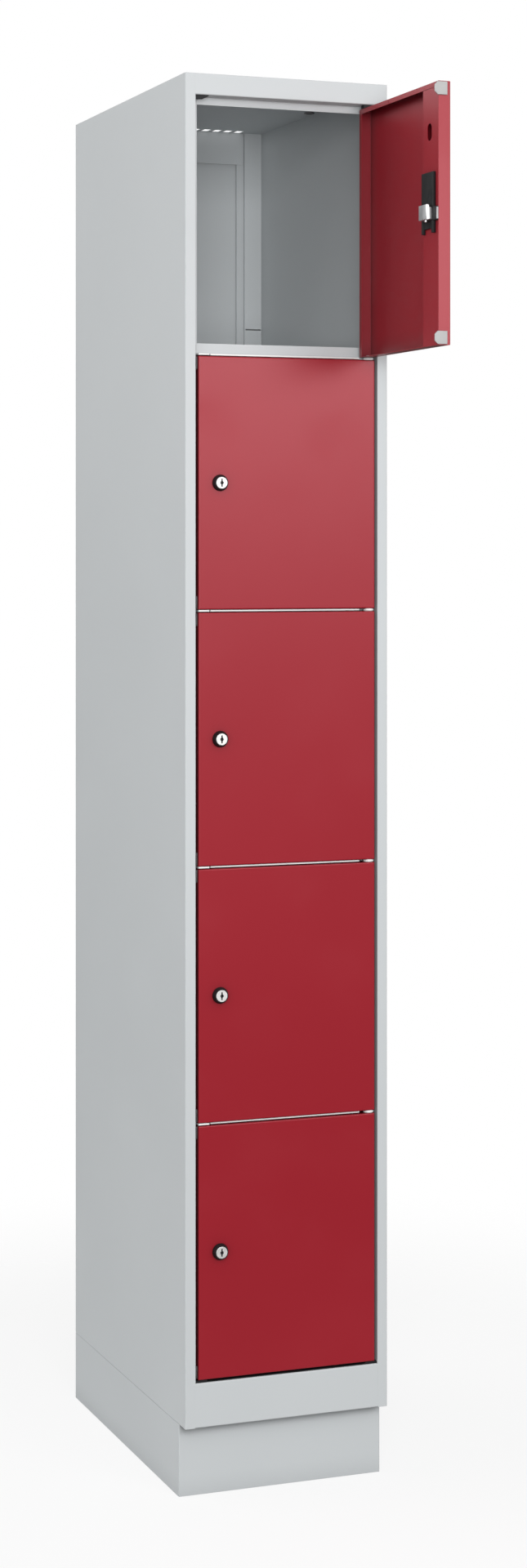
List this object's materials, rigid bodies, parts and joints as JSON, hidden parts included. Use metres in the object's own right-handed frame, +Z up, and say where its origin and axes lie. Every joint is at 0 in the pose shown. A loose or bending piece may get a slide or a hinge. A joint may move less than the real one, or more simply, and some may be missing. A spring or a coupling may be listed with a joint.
{
  "type": "compartment locker",
  "caption": "Tall narrow steel locker on a recessed plinth, divided into stacked compartments with right-hinged red doors, cylinder locks and the top door standing open.",
  "frame": {"origin": "on the floor, in the middle of the carcass's footprint", "axes": "+X to the right as seen from the front, +Y to the back, +Z up; the doors face -Y"},
  "size_m": [0.3, 0.7491, 1.95],
  "materials": {
    "body_grey": "light grey powder coat with a fine orange-peel surface",
    "door_red": "ruby red powder coat, satin",
    "black_plastic": "moulded black, fine grain",
    "cap_grey": "moulded light grey",
    "white_plastic": "moulded white",
    "zinc_steel": "zinc plated",
    "nickel": "nickel plated, satin",
    "driver_chrome": "chrome plated, polished"
  },
  "bodies": {
    "carcass": {"side_wall_left": "body_grey", "side_wall_right": "body_grey", "top_panel": "body_grey", "bottom_panel": "body_grey", "back_panel": "body_grey", "plinth": "body_grey", "plinth_bolts": "zinc_steel", "hinge_pins": "zinc_steel", "hinge_washers": "white_plastic", "top_blocks": "black_plastic", "bottom_blocks": "black_plastic", "top_plugs": "cap_grey", "shelf_1": "body_grey", "shelf_2": "body_grey", "shelf_3": "body_grey", "shelf_4": "body_grey"},
    "door_1": {"door_1": "door_red", "lock_channel_1": "door_red", "lock_case_1": "black_plastic", "lock_collar_1": "black_plastic", "corner_caps_1": "cap_grey"},
    "lock_1": {"lock_cylinder_1": "nickel", "lock_driver_1": "driver_chrome"},
    "bolt_1": {"latch_bolt_1": "zinc_steel"},
    "door_2": {"door_2": "door_red", "lock_channel_2": "door_red", "lock_case_2": "black_plastic", "lock_collar_2": "black_plastic", "corner_caps_2": "cap_grey"},
    "lock_2": {"lock_cylinder_2": "nickel", "lock_driver_2": "driver_chrome"},
    "bolt_2": {"latch_bolt_2": "zinc_steel"},
    "door_3": {"door_3": "door_red", "lock_channel_3": "door_red", "lock_case_3": "black_plastic", "lock_collar_3": "black_plastic", "corner_caps_3": "cap_grey"},
    "lock_3": {"lock_cylinder_3": "nickel", "lock_driver_3": "driver_chrome"},
    "bolt_3": {"latch_bolt_3": "zinc_steel"},
    "door_4": {"door_4": "door_red", "lock_channel_4": "door_red", "lock_case_4": "black_plastic", "lock_collar_4": "black_plastic", "corner_caps_4": "cap_grey"},
    "lock_4": {"lock_cylinder_4": "nickel", "lock_driver_4": "driver_chrome"},
    "bolt_4": {"latch_bolt_4": "zinc_steel"},
    "door_5": {"door_5": "door_red", "lock_channel_5": "door_red", "lock_case_5": "black_plastic", "lock_collar_5": "black_plastic", "corner_caps_5": "cap_grey"},
    "lock_5": {"lock_cylinder_5": "nickel", "lock_driver_5": "driver_chrome"},
    "bolt_5": {"latch_bolt_5": "zinc_steel"}
  },
  "joints": [
    {"name": "door_1_hinge", "type": "hinge", "parent": "carcass", "child": "door_1", "pos_m": [0.124, -0.2425, 1.74147], "axis": [0, 0, 1], "range_deg": [-90, 15]},
    {"name": "lock_1_turn", "type": "hinge", "parent": "door_1", "child": "lock_1", "pos_m": [0.1315, -0.466, 1.74147], "axis": [-1, 0, 0], "range_deg": [0, 90]},
    {"name": "bolt_1_slide", "type": "slide", "parent": "door_1", "child": "bolt_1", "axis": [0, -1, 0], "range_m": [0, 0.01]},
    {"name": "door_2_hinge", "type": "hinge", "parent": "carcass", "child": "door_2", "pos_m": [0.124, -0.2425, 1.39071], "axis": [0, 0, 1], "range_deg": [0, 105]},
    {"name": "lock_2_turn", "type": "hinge", "parent": "door_2", "child": "lock_2", "pos_m": [-0.0995, -0.25, 1.39071], "axis": [0, 1, 0], "range_deg": [0, 90]},
    {"name": "bolt_2_slide", "type": "slide", "parent": "door_2", "child": "bolt_2", "axis": [-1, 0, 0], "range_m": [0, 0.01]},
    {"name": "door_3_hinge", "type": "hinge", "parent": "carcass", "child": "door_3", "pos_m": [0.124, -0.2425, 1.03995], "axis": [0, 0, 1], "range_deg": [0, 105]},
    {"name": "lock_3_turn", "type": "hinge", "parent": "door_3", "child": "lock_3", "pos_m": [-0.0995, -0.25, 1.03995], "axis": [0, 1, 0], "range_deg": [0, 90]},
    {"name": "bolt_3_slide", "type": "slide", "parent": "door_3", "child": "bolt_3", "axis": [-1, 0, 0], "range_m": [0, 0.01]},
    {"name": "door_4_hinge", "type": "hinge", "parent": "carcass", "child": "door_4", "pos_m": [0.124, -0.2425, 0.68919], "axis": [0, 0, 1], "range_deg": [0, 105]},
    {"name": "lock_4_turn", "type": "hinge", "parent": "door_4", "child": "lock_4", "pos_m": [-0.0995, -0.25, 0.68919], "axis": [0, 1, 0], "range_deg": [0, 90]},
    {"name": "bolt_4_slide", "type": "slide", "parent": "door_4", "child": "bolt_4", "axis": [-1, 0, 0], "range_m": [0, 0.01]},
    {"name": "door_5_hinge", "type": "hinge", "parent": "carcass", "child": "door_5", "pos_m": [0.124, -0.2425, 0.33843], "axis": [0, 0, 1], "range_deg": [0, 105]},
    {"name": "lock_5_turn", "type": "hinge", "parent": "door_5", "child": "lock_5", "pos_m": [-0.0995, -0.25, 0.33843], "axis": [0, 1, 0], "range_deg": [0, 90]},
    {"name": "bolt_5_slide", "type": "slide", "parent": "door_5", "child": "bolt_5", "axis": [-1, 0, 0], "range_m": [0, 0.01]}
  ],
  "couplings": [
    {"joint": "bolt_1_slide", "follows": "lock_1_turn", "m_per_rad": 0.006366},
    {"joint": "bolt_2_slide", "follows": "lock_2_turn", "m_per_rad": 0.006366},
    {"joint": "bolt_3_slide", "follows": "lock_3_turn", "m_per_rad": 0.006366},
    {"joint": "bolt_4_slide", "follows": "lock_4_turn", "m_per_rad": 0.006366},
    {"joint": "bolt_5_slide", "follows": "lock_5_turn", "m_per_rad": 0.006366}
  ]
}
